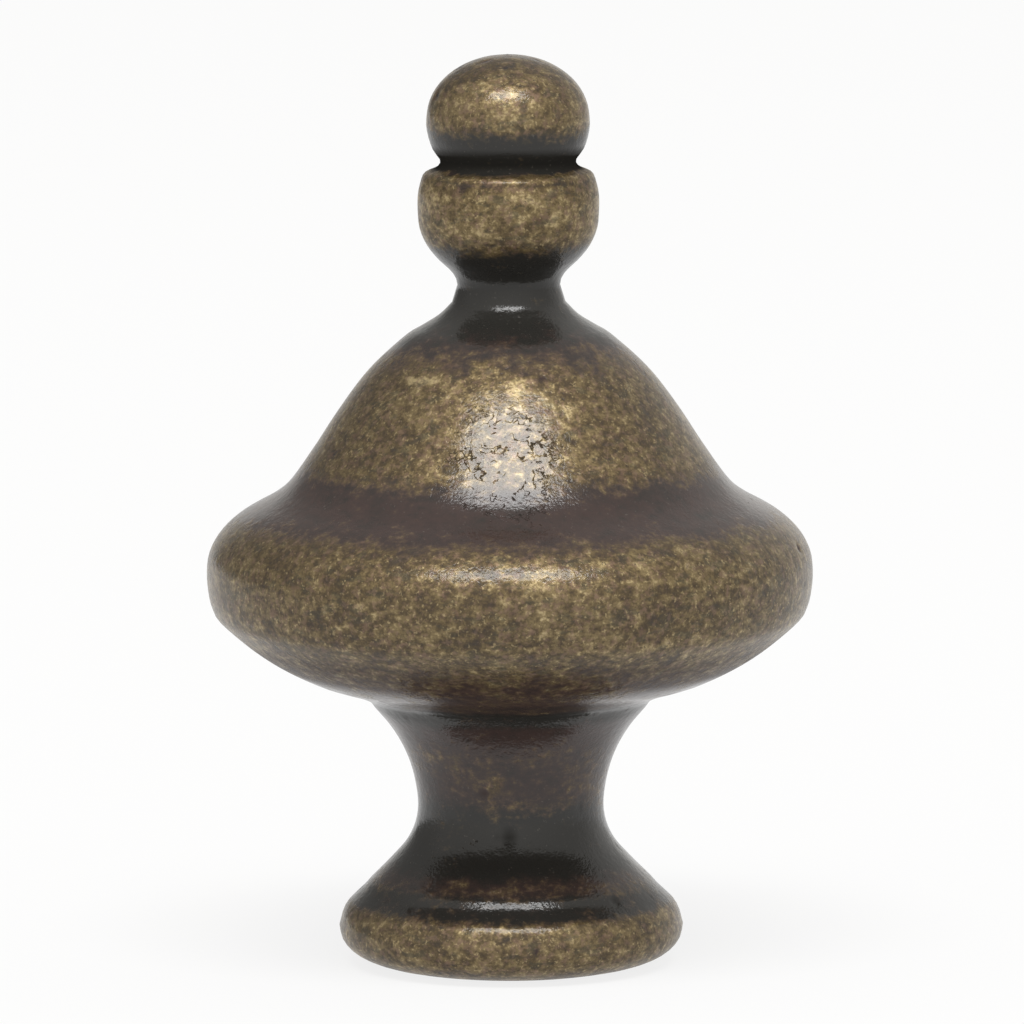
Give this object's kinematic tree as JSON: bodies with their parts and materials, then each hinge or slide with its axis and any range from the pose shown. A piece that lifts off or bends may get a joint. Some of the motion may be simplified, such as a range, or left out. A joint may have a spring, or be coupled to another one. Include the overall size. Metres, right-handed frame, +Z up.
{
  "type": "lamp finial",
  "caption": "Small turned antique brass lamp finial: ball, knop and bell over a rounded belly on a waisted stem, with a blind socket in its foot.",
  "frame": {"origin": "on the axis, in the plane of the flat ring of the foot on which the finial stands", "axes": "+Z up along the axis of turning, from the foot to the ball; the shape is the same all round it"},
  "size_m": [0.0252, 0.0252, 0.0381],
  "materials": {
    "antique_brass": "antiqued, lacquered, worn to gold on the swells and dark in the hollows"
  },
  "bodies": {
    "root": {"finial": "antique_brass"}
  },
  "joints": []
}
